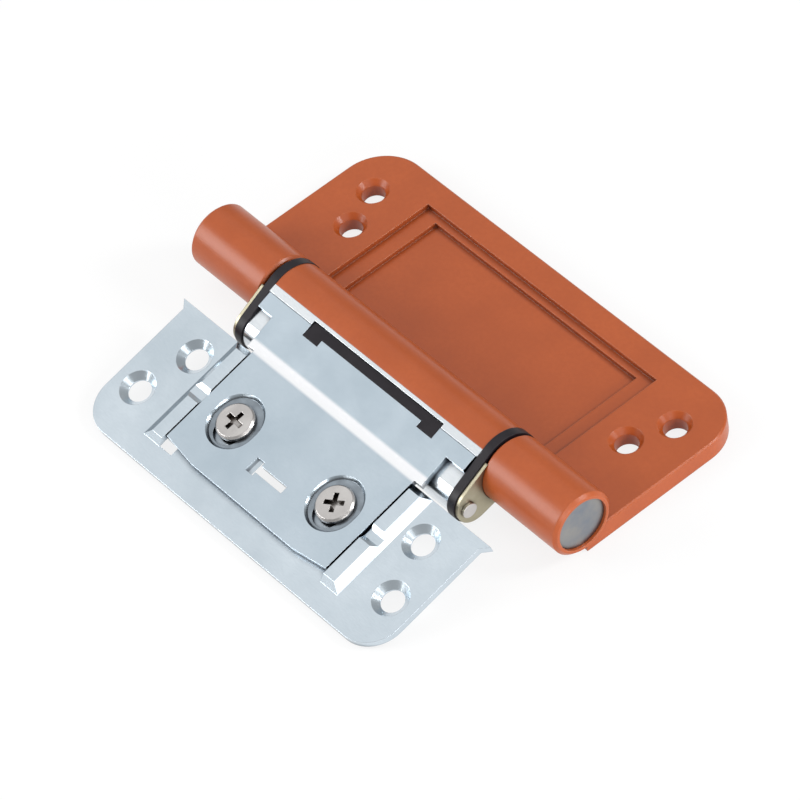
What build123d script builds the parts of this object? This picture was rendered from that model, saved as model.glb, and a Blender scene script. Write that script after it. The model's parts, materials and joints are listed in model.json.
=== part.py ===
"""Adjustable surface-mounted butt hinge, lying open with both leaves down on the table.

Millimetres, +Z up, X along the hinge pin, frame leaf towards +Y, door leaf towards -Y.
The origin is the bottom centre of the bounding box.
"""
from math import acos, asin, atan2, cos, hypot, sin, sqrt
import os

from build123d import *

os.makedirs("parts", exist_ok=True)

# Fits and clearances
running_fit = 0.05      # pin in the knuckle liner, radial
seat_fit = 0.02         # parts pushed into one another, radial
sheet_gap = 0.10        # flat parts that slide on one another
swing_gap = 0.30        # parts that turn past one another
cover_fit = 0.12        # sprung cover on the knuckle core

# Frame leaf, one casting with its two end knuckles
leaf_length = 127.0
leaf_reach = 49.3       # pin axis to far edge
leaf_thick = 4.7
leaf_near = 0.8         # pin axis to the edge under the barrel
leaf_corner_r = 11.5
axis_height = 10.6      # pin axis above the back of the leaf
barrel_r = 8.25
barrel_past = 1.25      # the barrel stands out past the leaf at both ends
barrel_half = leaf_length / 2 + barrel_past
barrel_edge = 0.8
leaf_edge = 0.4

# Recess in the frame leaf, in two steps
recess_half = 40.2
recess_far = 42.6
recess_step = 1.4
ledge_far = 2.0
ledge_side = 4.8
recess_depth = 2.6
pocket_far = 10.6       # deeper pocket that lets the washers swing down
pocket_floor = 1.55

# Screw holes, both leaves
hole_r = 2.9
leaf_sink_r = 4.1
leaf_holes = ((48.7, 25.9), (53.2, 36.5))
door_sink_r = 4.6
door_sink_angle = 100
door_holes = ((40.4, -26.6), (45.4, -40.6))

# Pin line, half lengths along X
core_half = 36.65
core_shift = 0.4        # the middle knuckle has slid to the right by its end play
washer_thick = 2.3
knuckle_start = core_half + core_shift + washer_thick + swing_gap
knuckle_edge = 0.6
pin_r = 4.0
bush_r = 5.2

# End caps, set back in the mouths of the barrel
cap_r = 6.7
cap_bore = 7.75         # depth of the wide mouth of the bore
cap_set_back = 0.8
cap_thick = 4.0
bush_end = barrel_half - cap_bore
pin_half = bush_end + 2.0

# Door leaf, heights above the pin axis in the door leaf's own frame
base_bottom = 2.4
base_thick = 1.8
base_near = -17.7
base_far = -53.7
base_half = 52.6
base_corner_r = 9.0
spur_reach = 2.0

# Rails pressed up out of the base plate
rail_inner = 29.0
rail_outer = 32.6
rail_foot = 34.8
rail_height = 1.6
rail_near = -17.75
rail_far = -47.8
rail_ramp = 1.6         # sloping end of a rail
rail_web = 1.1          # metal left over the hollow underneath
rail_dip = (4.4, 2.0)   # dip across a rail, at its top and at its floor
rail_dip_y = -32.7
rail_dip_depth = 0.8
relief_at = (-27.6, -46.4)
relief_size = (5.4, 2.6)

# Adjusting plate with its raised web
plate_thick = 1.6
plate_half = 28.5
plate_far = -46.5
plate_corner = (10.5, 1.4)
web_half = 36.3
web_edge = -17.2
shoulder_half = 30.8    # the web is narrower below its shoulders
shoulder_y = -8.8
bend_y = -17.0
bend_r = 6.0
seam_y = -4.65
seam_gap = 0.15
strip_end = -2.5
cover_end = -1.2

# Clamp screws in dished slots
screw_x = 17.8
screw_y = -32.6
head_r = 4.8
head_height = 1.3
head_edge = 0.45
shank_r = 2.5
dish_depth = 0.8
dish_size = (13.6, 14.8)
dish_taper = 38
clear_slot = (7.6, 9.7)
clear_shift = -1.45
cross_size = (5.0, 1.2)
cross_depth = 1.5
cross_turn = {"left": -4, "right": 31}

# T-shaped key opening
key_stem = (9.6, 2.0)
key_stem_x = 0.6
key_head = (2.6, 4.0)
key_head_x = -5.0
key_y = -37.6
key_margin = 1.2        # the base plate is open wider than the key
key_lean = -1.12        # middle of that opening, from the middle of the stem
key_travel = 1.8

# Slot in the middle knuckle and the strip that fills it
slot_x = 1.8            # middle of the slot
slot_half = 22.8
slot_near = -3.4
slot_far = -6.0
tab_far = -7.7
tab_width = 5.2
strip_sink = 0.5
strip_depth = 3.0

# Middle knuckle
cover_thick = 0.9
liner_r = 5.6
lobe_x = -11.3
lobe_r = 5.5
core_lobe_r = 5.1
washer_r = 8.4
side_plate_thick = 1.0
side_plate_inset = 0.35
rivet_at = (-13.5, 0.4)
rivet_r = 1.2
rivet_head_r = 1.9
rivet_head = 0.8
rivet_grip = 5.0

# Tilt that lets the outer edge of the door leaf touch the table
tilt = asin(axis_height / hypot(base_far, base_bottom)) + atan2(base_bottom, -base_far)
base_top = base_bottom + base_thick
rail_top = base_top + rail_height
plate_bottom = base_top + sheet_gap
plate_top = plate_bottom + plate_thick
door_reach = -base_far * cos(tilt) + base_top * sin(tilt)
axis_y = (door_reach - leaf_reach) / 2
tab_places = (slot_x - slot_half + tab_width / 2, slot_x + slot_half - tab_width / 2)

# Working planes
pin_line = Plane(origin=(0, axis_y, axis_height), x_dir=(0, 1, 0), z_dir=(1, 0, 0))
door = Plane(origin=(0, axis_y, axis_height), x_dir=(1, 0, 0), z_dir=(0, -sin(tilt), cos(tilt)))
door_section = Plane(origin=door.origin, x_dir=(0, cos(tilt), sin(tilt)), z_dir=(1, 0, 0))
core_left = door_section.offset(core_shift - core_half)
door_up = Axis(door.origin, door.z_dir)
sides = (("left", -1), ("right", 1))

# Straight top of the web, tangent to the barrel
knee_angle = atan2(plate_top, bend_y)
touch_angle = knee_angle - acos(barrel_r / hypot(bend_y, plate_top))
touch = (barrel_r * cos(touch_angle), barrel_r * sin(touch_angle))
web_slope = (touch[1] - plate_top) / (touch[0] - bend_y)
web_drop = plate_thick * sqrt(1 + web_slope**2)
knee_under = bend_y + (web_drop - plate_thick) / web_slope


def web_top(y):
    """Height of the web's upper face at y."""
    return plate_top + (y - bend_y) * web_slope


def lobe_sketch(round_r, lobe_radius):
    """Barrel circle joined to the lobe circle, by a tangent above and level below."""
    lean = (round_r - lobe_radius) / -lobe_x
    rise = sqrt(1 - lean**2)
    Circle(round_r)
    with Locations((lobe_x, 0)):
        Circle(lobe_radius)
    Polygon(
        (-round_r * lean, round_r * rise),
        (lobe_x - lobe_radius * lean, lobe_radius * rise),
        (lobe_x, -lobe_radius),
        (0, -lobe_radius),
        align=None,
    )


# Frame leaf casting
with BuildPart() as leaf:
    for side, sign in sides:
        with BuildSketch(pin_line.offset(sign * knuckle_start)):
            Circle(barrel_r)
        extrude(amount=sign * (barrel_half - knuckle_start))
    ring_edges = edges().filter_by(GeomType.CIRCLE)
    chamfer(ring_edges.filter_by(lambda edge: abs(edge.center().X) > barrel_half - 0.01), barrel_edge)
    chamfer(ring_edges.filter_by(lambda edge: abs(edge.center().X) < knuckle_start + 0.01), knuckle_edge)
    with BuildSketch(Plane.XY):
        with Locations((0, axis_y + (leaf_reach + leaf_near) / 2)):
            Rectangle(leaf_length, leaf_reach - leaf_near)
        far_corners = vertices().group_by(Axis.Y)[-1]
        fillet(far_corners, leaf_corner_r)
    extrude(amount=leaf_thick)
    top_rim = faces().filter_by(Plane.XY).sort_by(Axis.Z)[-1].edges()
    chamfer([edge for edge in top_rim if edge.center().Y > axis_y + 2 * barrel_r], leaf_edge)
    # Stepped recess
    with BuildSketch(Plane.XY.offset(leaf_thick)):
        with Locations((0, axis_y + recess_far / 2)):
            Rectangle(2 * recess_half, recess_far)
        with Locations((0, axis_y)):
            Rectangle(leaf_length, 2 * barrel_r, mode=Mode.SUBTRACT)
    extrude(amount=-recess_step, mode=Mode.SUBTRACT)
    with BuildSketch(Plane.XY.offset(leaf_thick)):
        with Locations((0, axis_y + (recess_far - ledge_far) / 2)):
            Rectangle(2 * (recess_half - ledge_side), recess_far - ledge_far)
    extrude(amount=-recess_depth, mode=Mode.SUBTRACT)
    with BuildSketch(Plane.XY.offset(pocket_floor)):
        with Locations((0, axis_y + pocket_far / 2)):
            Rectangle(2 * knuckle_start, pocket_far)
    extrude(amount=leaf_thick, mode=Mode.SUBTRACT)
    for side, sign in sides:
        with BuildSketch(pin_line.offset(sign * knuckle_start)):
            with Locations((pocket_far / 2, pocket_floor + leaf_thick / 2 - axis_height)):
                Rectangle(pocket_far, leaf_thick)
            Circle(barrel_r, mode=Mode.SUBTRACT)
        extrude(amount=sign * side_plate_thick, mode=Mode.SUBTRACT)
    # Bores for the bushes and end caps
    for side, sign in sides:
        with BuildSketch(pin_line.offset(sign * knuckle_start)):
            Circle(bush_r + seat_fit)
        extrude(amount=sign * barrel_half, mode=Mode.SUBTRACT)
        with BuildSketch(pin_line.offset(sign * bush_end)):
            Circle(cap_r + seat_fit)
        extrude(amount=sign * barrel_half, mode=Mode.SUBTRACT)
    with Locations(Plane.XY.offset(leaf_thick)):
        with Locations(*[(s * x, axis_y + y) for x, y in leaf_holes for s in (-1, 1)]):
            CounterSinkHole(radius=hole_r, counter_sink_radius=leaf_sink_r)

# Hinge pin
with BuildPart() as pin:
    with BuildSketch(pin_line.offset(-pin_half)):
        Circle(pin_r)
    extrude(amount=2 * pin_half)

# Nylon bushes in the end knuckles, and the end caps
bushes = {}
caps = {}
for side, sign in sides:
    with BuildPart() as bush:
        with BuildSketch(pin_line.offset(sign * knuckle_start)):
            Circle(bush_r)
            Circle(pin_r + seat_fit, mode=Mode.SUBTRACT)
        extrude(amount=sign * (bush_end - knuckle_start))
    bushes[side] = bush
    with BuildPart() as cap:
        with BuildSketch(pin_line.offset(sign * (barrel_half - cap_set_back))):
            Circle(cap_r)
        extrude(amount=-sign * cap_thick)
    caps[side] = cap

# Knuckle core casting with its lobe under the web
with BuildPart() as core:
    with BuildSketch(core_left):
        lobe_sketch(barrel_r - cover_thick - cover_fit, core_lobe_r)
        Polygon(
            (bend_y - lobe_r, web_top(bend_y - lobe_r) - web_drop - seat_fit),
            (seam_y + seam_gap, web_top(seam_y + seam_gap) - web_drop - seat_fit),
            (seam_y + seam_gap, barrel_r + lobe_r),
            (bend_y - lobe_r, barrel_r + lobe_r),
            align=None,
            mode=Mode.SUBTRACT,
        )
        Polygon(
            (seam_y + seam_gap, web_top(seam_y + seam_gap)),
            (strip_end - seat_fit, web_top(strip_end - seat_fit)),
            (strip_end - seat_fit, liner_r),
            (seam_y + seam_gap, liner_r / 2),
            align=None,
        )
        Circle(liner_r + seat_fit, mode=Mode.SUBTRACT)
    extrude(amount=2 * core_half)
    with BuildSketch(door.offset(web_top(slot_near) - strip_depth - strip_sink)):
        with Locations((slot_x, (slot_near + slot_far) / 2)):
            Rectangle(2 * slot_half, slot_near - slot_far)
        with Locations(*[(x, (slot_near + tab_far) / 2) for x in tab_places]):
            Rectangle(tab_width, slot_near - tab_far)
    extrude(amount=2 * strip_depth, mode=Mode.SUBTRACT)
    with Locations(core_left, core_left.offset(2 * core_half)):
        with Locations(rivet_at):
            Cylinder(rivet_r + seat_fit, 2 * rivet_grip, mode=Mode.SUBTRACT)

# Liner in which the pin turns
with BuildPart() as liner:
    with BuildSketch(core_left):
        Circle(liner_r)
        Circle(pin_r + running_fit, mode=Mode.SUBTRACT)
    extrude(amount=2 * core_half)

# Nylon strip pushed into the slot, with a hooked tab at each end
with BuildPart() as strip:
    with BuildSketch(door.offset(web_top(slot_near) - strip_depth)):
        with Locations((slot_x, (slot_near + slot_far) / 2)):
            Rectangle(2 * (slot_half - sheet_gap), slot_near - slot_far - 2 * sheet_gap)
        with Locations(*[(x, (slot_near + tab_far) / 2) for x in tab_places]):
            Rectangle(tab_width - 2 * sheet_gap, slot_near - tab_far - 2 * sheet_gap)
    extrude(amount=strip_depth - strip_sink)

# Cover clipped over the middle knuckle
with BuildPart() as cover:
    with BuildSketch(core_left):
        Circle(barrel_r)
        Polygon(
            touch,
            (strip_end, web_top(strip_end)),
            (strip_end, liner_r),
            (touch[0], liner_r),
            align=None,
        )
        Circle(barrel_r - cover_thick, mode=Mode.SUBTRACT)
        with Locations((strip_end - barrel_r, barrel_r), (cover_end - barrel_r, -barrel_r)):
            Rectangle(2 * barrel_r, 2 * barrel_r, mode=Mode.SUBTRACT)
    extrude(amount=2 * core_half)

# Lobed washers, side plates and their rivets
washers = {}
side_plates = {}
rivets = {}
for side, sign in sides:
    core_end = core_shift + sign * core_half
    washer_end = core_end + sign * washer_thick
    with BuildPart() as washer:
        with BuildSketch(door_section.offset(core_end)):
            lobe_sketch(washer_r, lobe_r)
            Circle(pin_r + swing_gap, mode=Mode.SUBTRACT)
            with Locations(rivet_at):
                Circle(rivet_r + seat_fit, mode=Mode.SUBTRACT)
        extrude(amount=sign * washer_thick)
    washers[side] = washer
    with BuildPart() as side_plate:
        with BuildSketch(door_section.offset(washer_end)):
            lobe_sketch(washer_r - side_plate_inset, lobe_r - side_plate_inset)
            Circle(washer_r - side_plate_inset + swing_gap, mode=Mode.SUBTRACT)
            with Locations(rivet_at):
                Circle(rivet_r + seat_fit, mode=Mode.SUBTRACT)
        extrude(amount=sign * side_plate_thick)
    side_plates[side] = side_plate
    with BuildPart() as rivet:
        with BuildSketch(door_section.offset(core_end - sign * (rivet_grip - sheet_gap))):
            with Locations(rivet_at):
                Circle(rivet_r)
        extrude(amount=sign * (rivet_grip - sheet_gap + washer_thick + side_plate_thick))
        with BuildSketch(door_section.offset(washer_end + sign * side_plate_thick)):
            with Locations(rivet_at):
                Circle(rivet_head_r)
        extrude(amount=sign * rivet_head)
    rivets[side] = rivet

# Adjusting plate, bent up over the knuckle
with BuildPart() as plate:
    with BuildSketch(door_section.offset(core_shift - web_half)):
        Polygon(
            (knee_under, plate_bottom),
            (seam_y, web_top(seam_y) - web_drop),
            (seam_y, web_top(seam_y)),
            (bend_y, plate_top),
            (web_edge - bend_r, plate_top),
            (web_edge - bend_r, plate_bottom),
            align=None,
        )
        fillet(vertices().sort_by_distance((bend_y, plate_top))[0], bend_r)
        fillet(vertices().sort_by_distance((knee_under, plate_bottom))[0], bend_r + plate_thick)
    extrude(amount=2 * web_half)
    with BuildSketch(door.offset(base_top)):
        for side, sign in sides:
            Polygon(
                (sign * shoulder_half, shoulder_y),
                (sign * base_half, shoulder_y),
                (sign * base_half, web_edge - bend_r),
                (sign * plate_half, web_edge - bend_r),
                (sign * plate_half, web_edge),
                (sign * shoulder_half, web_edge),
                align=None,
            )
    extrude(amount=barrel_r, mode=Mode.SUBTRACT)
    with BuildSketch(door.offset(plate_bottom)):
        with Locations((0, (plate_far + web_edge) / 2)):
            Rectangle(2 * plate_half, web_edge - plate_far)
        for side, sign in sides:
            Polygon(
                (sign * plate_half, plate_far),
                (sign * plate_half, plate_far + plate_corner[1]),
                (sign * (plate_half - plate_corner[0]), plate_far),
                align=None,
                mode=Mode.SUBTRACT,
            )
    extrude(amount=plate_thick)
    with BuildSketch(door.offset(plate_top)):
        with Locations(*[(s * screw_x, screw_y) for s in (-1, 1)]):
            SlotOverall(dish_size[1], dish_size[0], rotation=90)
    extrude(amount=-dish_depth, taper=dish_taper, mode=Mode.SUBTRACT)
    with BuildSketch(door.offset(plate_top)):
        with Locations(*[(s * screw_x, screw_y + clear_shift) for s in (-1, 1)]):
            SlotOverall(clear_slot[1], clear_slot[0], rotation=90)
        with Locations((key_stem_x, key_y)):
            Rectangle(*key_stem)
        with Locations((key_head_x, key_y)):
            Rectangle(*key_head)
    extrude(amount=-2 * plate_thick, mode=Mode.SUBTRACT)
    with BuildSketch(door.offset(base_top)):
        with Locations((slot_x, slot_far / 2)):
            Rectangle(2 * slot_half, -slot_far)
        with Locations(*[(x, tab_far / 2) for x in tab_places]):
            Rectangle(tab_width, -tab_far)
    extrude(amount=barrel_r, mode=Mode.SUBTRACT)

# Base plate with pressed rails
with BuildPart() as base:
    with BuildSketch(door.offset(base_bottom)):
        with Locations((0, (base_near + base_far) / 2)):
            Rectangle(2 * base_half, base_near - base_far)
        fillet(vertices().group_by(Axis.Y)[0], base_corner_r)
        for side, sign in sides:
            Polygon(
                (sign * base_half, base_near),
                (sign * (base_half + spur_reach), base_near),
                (sign * base_half, base_near - spur_reach),
                align=None,
            )
    extrude(amount=base_thick)
    for side, sign in sides:
        rail_plane = Plane(
            origin=door.from_local_coords((0, rail_far, base_top)),
            x_dir=(1, 0, 0),
            z_dir=-door.y_dir,
        )
        with BuildSketch(rail_plane):
            Polygon(
                (sign * rail_inner, 0),
                (sign * rail_inner, rail_height),
                (sign * rail_outer, rail_height),
                (sign * rail_foot, 0),
                align=None,
            )
        extrude(amount=-(rail_near - rail_far))
        with BuildSketch(door_section.offset(sign * rail_inner)):
            Polygon((rail_far, base_top), (rail_far + rail_ramp, rail_top), (rail_far, rail_top), align=None)
            Polygon((rail_near, base_top), (rail_near - rail_ramp, rail_top), (rail_near, rail_top), align=None)
            Polygon(
                (rail_dip_y - rail_dip[0] / 2, rail_top),
                (rail_dip_y - rail_dip[1] / 2, rail_top - rail_dip_depth),
                (rail_dip_y + rail_dip[1] / 2, rail_top - rail_dip_depth),
                (rail_dip_y + rail_dip[0] / 2, rail_top),
                align=None,
            )
        extrude(amount=sign * (rail_foot - rail_inner), mode=Mode.SUBTRACT)
    with BuildSketch(door.offset(base_bottom)):
        with Locations(*[(s * (rail_inner + rail_outer) / 2, (rail_far + rail_near) / 2) for s in (-1, 1)]):
            Rectangle(rail_outer - rail_inner - rail_web, rail_near - rail_far - 2 * rail_ramp)
    extrude(amount=base_thick + rail_height - rail_dip_depth - rail_web, mode=Mode.SUBTRACT)
    with BuildSketch(door.offset(base_top)):
        with Locations(*[(s * screw_x, screw_y) for s in (-1, 1)]):
            Circle(shank_r + seat_fit)
        with Locations((key_stem_x + key_lean, key_y + key_travel / 2)):
            Rectangle(key_stem[0] + 2 * key_margin, key_head[1] + key_travel)
        with Locations(relief_at):
            Rectangle(*relief_size)
    extrude(amount=-base_thick, mode=Mode.SUBTRACT)
    with Locations(door.offset(base_top)):
        with Locations(*[(s * x, y) for x, y in door_holes for s in (-1, 1)]):
            CounterSinkHole(hole_r, door_sink_r, counter_sink_angle=door_sink_angle)

# Clamp screws
screws = {}
seat_z = plate_top - dish_depth + seat_fit
for side, sign in sides:
    with BuildPart() as screw:
        with BuildSketch(door.offset(base_bottom)):
            with Locations((sign * screw_x, screw_y)):
                Circle(shank_r)
        extrude(amount=seat_z - base_bottom)
        with BuildSketch(door.offset(seat_z)):
            with Locations((sign * screw_x, screw_y)):
                Circle(head_r)
        extrude(amount=head_height)
        chamfer(edges().filter_by(GeomType.CIRCLE).sort_by(door_up)[-1], head_edge)
        with BuildSketch(door.offset(seat_z + head_height)):
            with Locations(Location((sign * screw_x, screw_y, 0), (0, 0, cross_turn[side]))):
                Rectangle(*cross_size)
                Rectangle(cross_size[1], cross_size[0])
        extrude(amount=-cross_depth, mode=Mode.SUBTRACT)
    screws[side] = screw

# Export, one file for each piece
pieces = {
    "leaf_casting": leaf,
    "hinge_pin": pin,
    "knuckle_core": core,
    "knuckle_liner": liner,
    "slot_strip": strip,
    "knuckle_cover": cover,
    "adjusting_plate": plate,
    "base_plate": base,
}
for side, sign in sides:
    pieces[f"end_bush_{side}"] = bushes[side]
    pieces[f"end_cap_{side}"] = caps[side]
    pieces[f"washer_{side}"] = washers[side]
    pieces[f"side_plate_{side}"] = side_plates[side]
    pieces[f"rivet_{side}"] = rivets[side]
    pieces[f"clamp_screw_{side}"] = screws[side]
for label, piece in pieces.items():
    piece.part.label = label
    export_step(piece.part, f"parts/{label}.step")
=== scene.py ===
"""Looks of the adjustable butt hinge: materials, floor, light and camera. Metres."""
import json

import bpy
from mathutils import Matrix, Vector


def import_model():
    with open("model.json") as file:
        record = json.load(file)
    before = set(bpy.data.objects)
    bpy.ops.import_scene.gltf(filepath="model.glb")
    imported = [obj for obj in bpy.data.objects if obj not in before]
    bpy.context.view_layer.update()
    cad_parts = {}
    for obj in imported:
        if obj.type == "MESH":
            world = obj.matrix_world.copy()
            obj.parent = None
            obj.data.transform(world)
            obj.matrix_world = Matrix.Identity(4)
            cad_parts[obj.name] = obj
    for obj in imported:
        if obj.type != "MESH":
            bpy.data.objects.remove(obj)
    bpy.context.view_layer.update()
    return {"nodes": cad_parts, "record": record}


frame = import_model()
nodes = frame["nodes"]

# Masks that the materials share
bevel_samples = 6
cavity_samples = 12
noise_roughness = 0.55
edge_start = 0.02       # how far the rounded normal leaves the true one where wear starts
edge_full = 0.25
shut = 0.35             # openness at which the painted crevice shade is at its darkest
shade_free_openness = 0.82            # openness at which there is no painted shade


# Shader helpers

def new_material(name):
    material = bpy.data.materials.new(name)
    material.use_nodes = True
    tree = material.node_tree
    return material, tree, tree.nodes["Principled BSDF"]


def add(tree, kind, **values):
    """New node. Names that start with in_ set its sockets, the others its own settings."""
    node = tree.nodes.new(kind)
    for key, value in values.items():
        if key.startswith("in_"):
            node.inputs[key[3:].replace("_", " ")].default_value = value
        else:
            setattr(node, key, value)
    return node


def coordinates(tree, stretch=(1, 1, 1)):
    source = add(tree, "ShaderNodeTexCoord")
    mapping = add(tree, "ShaderNodeMapping", in_Scale=stretch)
    tree.links.new(source.outputs["Object"], mapping.inputs["Vector"])
    return mapping.outputs["Vector"]


def noise(tree, vector, scale, detail):
    node = add(tree, "ShaderNodeTexNoise", in_Scale=scale, in_Detail=detail, in_Roughness=noise_roughness)
    tree.links.new(vector, node.inputs["Vector"])
    return node.outputs["Fac"]


def remap(tree, value, low, high, to_low, to_high):
    node = add(tree, "ShaderNodeMapRange", in_From_Min=low, in_From_Max=high)
    node.inputs["To Min"].default_value = to_low
    node.inputs["To Max"].default_value = to_high
    tree.links.new(value, node.inputs["Value"])
    return node.outputs["Result"]


def spread(tree, value, to_low, to_high, half=0.2):
    """Noise keeps near 0.5, so its middle, half to either side, is spread over the given span."""
    return remap(tree, value, 0.5 - half, 0.5 + half, to_low, to_high)


def mix(tree, factor, first, second):
    """Blend of two colours, each a socket or three numbers."""
    node = add(tree, "ShaderNodeMix", data_type="RGBA")
    tree.links.new(factor, node.inputs[0])
    for socket, value in ((6, first), (7, second)):
        if hasattr(value, "is_output"):
            tree.links.new(value, node.inputs[socket])
        else:
            node.inputs[socket].default_value = (*value, 1.0)
    return node.outputs[2]


def maths(tree, operation, first, second=0.0):
    """Result of two values, each a socket or a number."""
    node = add(tree, "ShaderNodeMath", operation=operation)
    for index, value in enumerate((first, second)):
        if hasattr(value, "is_output"):
            tree.links.new(value, node.inputs[index])
        else:
            node.inputs[index].default_value = value
    return node.outputs[0]


def edges(tree, radius):
    """Mask that is 1 on sharp edges: how far the rounded normal leaves the true one."""
    bevel = add(tree, "ShaderNodeBevel", samples=bevel_samples, in_Radius=radius)
    geometry = add(tree, "ShaderNodeNewGeometry")
    dot = add(tree, "ShaderNodeVectorMath", operation="DOT_PRODUCT")
    tree.links.new(bevel.outputs["Normal"], dot.inputs[0])
    tree.links.new(geometry.outputs["Normal"], dot.inputs[1])
    off = maths(tree, "SUBTRACT", 1.0, dot.outputs["Value"])
    return remap(tree, off, edge_start, edge_full, 0.0, 1.0)


def painted_crevice_shade(tree, reach, depth, own=False, open_at=shade_free_openness):
    """Mask of painted shade in narrow gaps and inner corners, darker where occlusion is higher, of the piece
    alone if own is set.
    """
    node = add(tree, "ShaderNodeAmbientOcclusion", samples=cavity_samples, only_local=own, in_Distance=reach)
    return remap(tree, node.outputs["AO"], shut, open_at, depth, 0.0)


def bump(tree, shader, height, strength, distance, radius):
    """Fine relief of the surface, over edges that are rounded by the radius."""
    node = add(tree, "ShaderNodeBump", in_Strength=strength, in_Distance=distance)
    bevel = add(tree, "ShaderNodeBevel", samples=bevel_samples, in_Radius=radius)
    tree.links.new(height, node.inputs["Height"])
    tree.links.new(bevel.outputs["Normal"], node.inputs["Normal"])
    tree.links.new(node.outputs["Normal"], shader.inputs["Normal"])


# Powder coat of the cast leaf and the middle cover

copper_low = (0.395, 0.074, 0.011)
copper_high = (0.445, 0.089, 0.017)
copper_speck = (0.36, 0.064, 0.010)
copper_worn = (0.62, 0.22, 0.11)
copper_crevice_shade = (0.09, 0.015, 0.006)


def copper_coat():
    """Satin powder coat: fine orange peel, slight blotches, paler worn edges."""
    material, tree, shader = new_material("copper_coat")
    vector = coordinates(tree)
    blotch = noise(tree, vector, scale=70, detail=2)
    peel = noise(tree, vector, scale=900, detail=2)
    colour = mix(tree, spread(tree, blotch, 0, 1), copper_low, copper_high)
    colour = mix(tree, spread(tree, peel, 0, 0.3, half=0.15), colour, copper_speck)
    worn = maths(tree, "MULTIPLY", edges(tree, radius=0.0005), spread(tree, peel, 0.2, 0.8))
    colour = mix(tree, worn, colour, copper_worn)
    # painted shade in the coat's own corners and recesses, from occlusion
    colour = mix(tree, painted_crevice_shade(tree, reach=0.0035, depth=0.8, own=True), colour, copper_crevice_shade)
    tree.links.new(colour, shader.inputs["Base Color"])
    tree.links.new(spread(tree, blotch, 0.30, 0.38), shader.inputs["Roughness"])
    bump(tree, shader, peel, strength=0.25, distance=0.00004, radius=0.0004)
    return material


# Zinc plating of the sheets and the knuckle core

zinc_grain = (0.44, 0.52, 0.60)
zinc_edge = (0.74, 0.80, 0.87)
zinc_bend_highlight = (0.97, 0.98, 1.0)
zinc_dish_shade = (0.06, 0.06, 0.07)
zinc_crevice_shade = (0.05, 0.06, 0.08)
grain_stretch = (1, 14, 14)

# The adjusting plate: its bend line's Y, half the width of the painted highlight band along the bend, the
# slope at which it lies, and how far out along its normal the painted shade in the screw dishes starts and
# ends
bend_y = -0.0154
bend_band = 0.00125
bend_blur = 0.25
plate_normal = (0.0, -0.241, 0.971)
cut_floor = 0.01500
cut_top = 0.01545


def painted_bend_highlight(tree):
    """Mask of the painted highlight along the bend of the adjusting plate."""
    source = add(tree, "ShaderNodeTexCoord")
    split = add(tree, "ShaderNodeSeparateXYZ")
    tree.links.new(source.outputs["Object"], split.inputs[0])
    off = maths(tree, "ABSOLUTE", maths(tree, "SUBTRACT", split.outputs["Y"], bend_y))
    return remap(tree, off, (1 - bend_blur) * bend_band, (1 + bend_blur) * bend_band, 1.0, 0.0)


def painted_dish_shade(tree, vector):
    """Mask of painted shade in patches, in the screw dishes and on the cut walls of the plate."""
    source = add(tree, "ShaderNodeTexCoord")
    height = add(tree, "ShaderNodeVectorMath", operation="DOT_PRODUCT")
    height.inputs[1].default_value = plate_normal
    tree.links.new(source.outputs["Object"], height.inputs[0])
    low = remap(tree, height.outputs["Value"], cut_floor, cut_top, 1.0, 0.0)
    patches = spread(tree, noise(tree, vector, scale=300, detail=2), 0.4, 0.65)
    return maths(tree, "MULTIPLY", low, patches)


def zinc_plate(name, low, high, bent=False):
    """Bright zinc plating: bluish, with drawn grain and soft mottling; the bent plate gets a painted
    highlight along the bend and painted shade in its screw dishes.
    """
    material, tree, shader = new_material(name)
    vector = coordinates(tree)
    grain = noise(tree, coordinates(tree, grain_stretch), scale=700, detail=3)
    cloud = noise(tree, vector, scale=60, detail=3)
    speck = noise(tree, vector, scale=1400, detail=1)
    colour = mix(tree, spread(tree, cloud, 0, 1, half=0.18), low, high)
    colour = mix(tree, spread(tree, grain, 0, 0.25), colour, zinc_grain)
    worn = maths(tree, "MULTIPLY", edges(tree, radius=0.0002), 0.5)
    colour = mix(tree, worn, colour, zinc_edge)
    if bent:
        # painted highlight along the bend
        colour = mix(tree, painted_bend_highlight(tree), colour, zinc_bend_highlight)
        # painted shade in the screw dishes and on the cut walls
        colour = mix(tree, painted_dish_shade(tree, vector), colour, zinc_dish_shade)
    # painted shade in gaps and inner corners, from occlusion
    colour = mix(tree, painted_crevice_shade(tree, reach=0.0025, depth=0.9), colour, zinc_crevice_shade)
    tree.links.new(colour, shader.inputs["Base Color"])
    rough = maths(tree, "ADD", spread(tree, cloud, 0.18, 0.24), spread(tree, grain, -0.02, 0.04))
    tree.links.new(rough, shader.inputs["Roughness"])
    shader.inputs["Metallic"].default_value = 1.0
    height = maths(tree, "ADD", grain, maths(tree, "MULTIPLY", speck, 0.4))
    bump(tree, shader, height, strength=0.12, distance=0.00002, radius=0.00012)
    return material


# Small parts

steel_crevice_shade = (0.05, 0.035, 0.025)
nylon_low = (0.009, 0.007, 0.010)
nylon_high = (0.016, 0.013, 0.017)
nylon_scuff = (0.0552, 0.0486, 0.0574)


def plated_steel(name, low, high, roughness, reach):
    """Plated small parts, with painted shade in their recesses, as far as it reaches from a corner."""
    material, tree, shader = new_material(name)
    vector = coordinates(tree)
    cloud = noise(tree, vector, scale=160, detail=3)
    fine = noise(tree, vector, scale=1500, detail=2)
    colour = mix(tree, spread(tree, cloud, 0, 1), low, high)
    # painted shade in recesses, from occlusion
    colour = mix(tree, painted_crevice_shade(tree, reach, depth=0.9, open_at=0.8), colour, steel_crevice_shade)
    tree.links.new(colour, shader.inputs["Base Color"])
    tree.links.new(spread(tree, cloud, roughness - 0.05, roughness + 0.07), shader.inputs["Roughness"])
    shader.inputs["Metallic"].default_value = 1.0
    bump(tree, shader, fine, strength=0.12, distance=0.00003, radius=0.0002)
    return material


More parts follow.
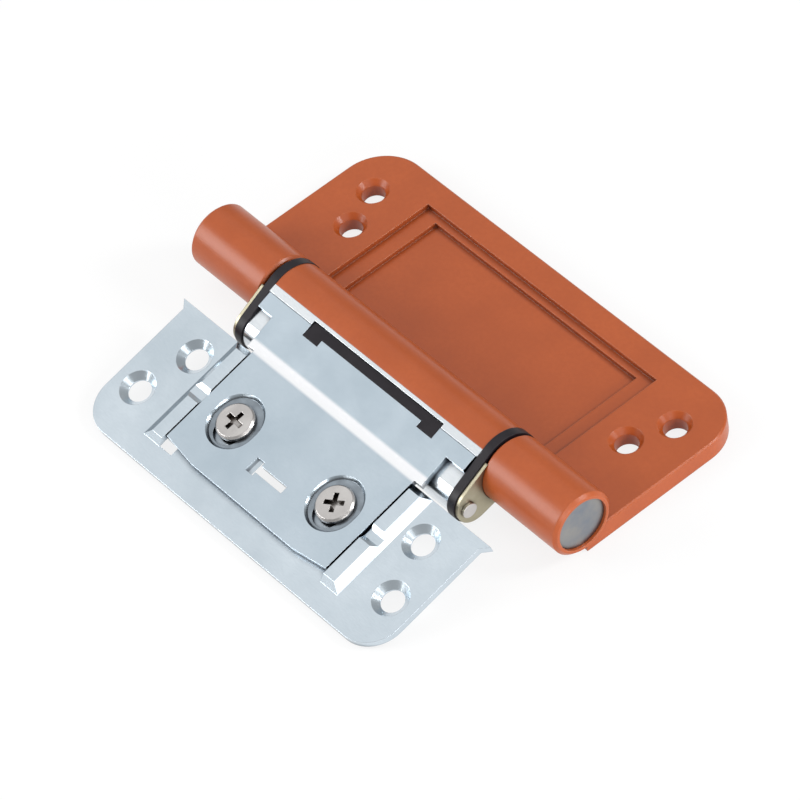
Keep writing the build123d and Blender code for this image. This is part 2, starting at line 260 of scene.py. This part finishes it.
def black_nylon():
    """Moulded nylon: faint colour drift, fine texture, scuffed edges."""
    material, tree, shader = new_material("black_nylon")
    vector = coordinates(tree)
    cloud = noise(tree, vector, scale=220, detail=3)
    fine = noise(tree, vector, scale=1800, detail=2)
    colour = mix(tree, spread(tree, cloud, 0, 1), nylon_low, nylon_high)
    scuff = maths(tree, "MULTIPLY", edges(tree, radius=0.0003), 0.35)
    colour = mix(tree, scuff, colour, nylon_scuff)
    tree.links.new(colour, shader.inputs["Base Color"])
    tree.links.new(spread(tree, cloud, 0.37, 0.48), shader.inputs["Roughness"])
    shader.inputs["Specular IOR Level"].default_value = 0.3
    bump(tree, shader, fine, strength=0.2, distance=0.00003, radius=0.0003)
    return material


# Each slot of the record has its finish. The base zinc, the adjusting plate's darker copy and the knuckle
# core's near-white copy
# differ only in brightness: painted light, for how brightly each piece reflects

finishes = {
    "copper_coat": copper_coat(),
    "zinc_plate": zinc_plate("zinc_plate", (0.59, 0.67, 0.73), (0.71, 0.79, 0.85)),
    "screw_steel": plated_steel("screw_steel", (0.52, 0.50, 0.49), (0.66, 0.64, 0.62), 0.26, 0.0018),
    "pin_steel": plated_steel("pin_steel", (0.28, 0.26, 0.25), (0.38, 0.36, 0.34), 0.26, 0.002),
    # the longer reach paints the shade on the side plates' upper part, next to the barrel
    "passivated_steel": plated_steel("passivated_steel", (0.36, 0.32, 0.22), (0.46, 0.43, 0.32), 0.34, 0.004),
    "black_nylon": black_nylon(),
    # the cap's dark colours and longer reach paint the shade of the bore on the cap
    "grey_cap": plated_steel("grey_cap", (0.22, 0.25, 0.30), (0.36, 0.35, 0.33), 0.36, 0.004),
}
own_finish = {
    "adjusting_plate": zinc_plate("zinc_plate_bent", (0.50, 0.59, 0.66), (0.59, 0.68, 0.75), bent=True),
    "knuckle_core": zinc_plate("zinc_casting", (0.78, 0.82, 0.85), (0.90, 0.93, 0.95)),
}
slots = {entry["node"]: entry["material_slot"] for entry in frame["record"]["subparts"]}
for name, node in nodes.items():
    for material_slot in node.material_slots:
        material_slot.material = own_finish.get(name, finishes[slots[name]])


# Floor and light

floor_reach = 3.0
floor_height = -2e-4
floor_grey = 0.93
floor_glow = 0.82       # share of plain white in what the camera and reflections see of the floor
sky_strength = 0.44


def seen_directly(tree, *rays):
    """1 for the named kinds of ray, 0 for light on its way between surfaces."""
    path = add(tree, "ShaderNodeLightPath")
    seen = path.outputs[rays[0]]
    for ray in rays[1:]:
        seen = maths(tree, "MAXIMUM", seen, path.outputs[ray])
    return seen


def floor():
    mesh = bpy.data.meshes.new("floor")
    signs = ((-1, -1), (1, -1), (1, 1), (-1, 1))
    corners = [(x * floor_reach, y * floor_reach, floor_height) for x, y in signs]
    mesh.from_pydata(corners, [], [(0, 1, 2, 3)])
    plane = bpy.data.objects.new("floor", mesh)
    bpy.context.scene.collection.objects.link(plane)
    material, tree, shader = new_material("floor")
    shader.inputs["Base Color"].default_value = (floor_grey, floor_grey, floor_grey, 1)
    shader.inputs["Roughness"].default_value = 0.9
    shader.inputs["Specular IOR Level"].default_value = 0.0
    glow = add(tree, "ShaderNodeEmission", in_Color=(1, 1, 1, 1), in_Strength=1.0)
    seen = seen_directly(tree, "Is Camera Ray", "Is Glossy Ray", "Is Transmission Ray")
    blend = add(tree, "ShaderNodeMixShader")
    tree.links.new(maths(tree, "MULTIPLY", seen, floor_glow), blend.inputs[0])
    tree.links.new(shader.outputs[0], blend.inputs[1])
    tree.links.new(glow.outputs[0], blend.inputs[2])
    tree.links.new(blend.outputs[0], tree.nodes["Material Output"].inputs["Surface"])
    mesh.materials.append(material)


def world():
    """White behind everything, and a dimmer white as light on the object."""
    surroundings = bpy.data.worlds.new("studio")
    bpy.context.scene.world = surroundings
    surroundings.use_nodes = True
    tree = surroundings.node_tree
    background = tree.nodes["Background"]
    background.inputs["Color"].default_value = (1, 1, 1, 1)
    seen = seen_directly(tree, "Is Camera Ray", "Is Transmission Ray")
    strength = maths(tree, "ADD", maths(tree, "MULTIPLY", seen, 1 - sky_strength), sky_strength)
    tree.links.new(strength, background.inputs["Strength"])


def softbox(name, place, size, power):
    """Area lamp that faces the object at the origin."""
    lamp = bpy.data.lights.new(name, "AREA")
    lamp.shape = "RECTANGLE"
    lamp.size, lamp.size_y = size
    lamp.energy = power
    body = bpy.data.objects.new(name, lamp)
    body.location = place
    body.rotation_euler = (-Vector(place)).to_track_quat("-Z", "Y").to_euler()
    bpy.context.scene.collection.objects.link(body)


floor()
world()
softbox("left", (-0.58, -0.69, 0.44), size=(0.62, 0.55), power=5.4)
softbox("key", (0.62, 0.55, 0.56), size=(0.22, 0.22), power=4.0)
softbox("right", (0.95, -0.20, 0.24), size=(0.6, 0.4), power=4.5)
softbox("overhead", (-0.55, 0.10, 0.90), size=(1.2, 1.0), power=1.9)
softbox("front", (0.75, -0.05, 1.05), size=(0.5, 0.5), power=1.6)


# Camera at the photograph's angle

camera_place = (0.797015, -0.482003, 1.015939)
camera_right = Vector((0.636380, 0.758896, -0.138194))
camera_up = Vector((-0.510022, 0.548362, 0.662704))
camera_back = Vector((0.578704, -0.351249, 0.736021))

camera = bpy.data.objects.new("camera", bpy.data.cameras.new("camera"))
bpy.context.scene.collection.objects.link(camera)
turn = Matrix((camera_right, camera_up, camera_back)).transposed().to_4x4()
camera.matrix_world = Matrix.Translation(camera_place) @ turn
camera.data.sensor_width = 36.0
camera.data.lens = 273.679
camera.data.clip_end = 20
bpy.context.scene.camera = camera
bpy.context.scene.view_settings.view_transform = "Standard"
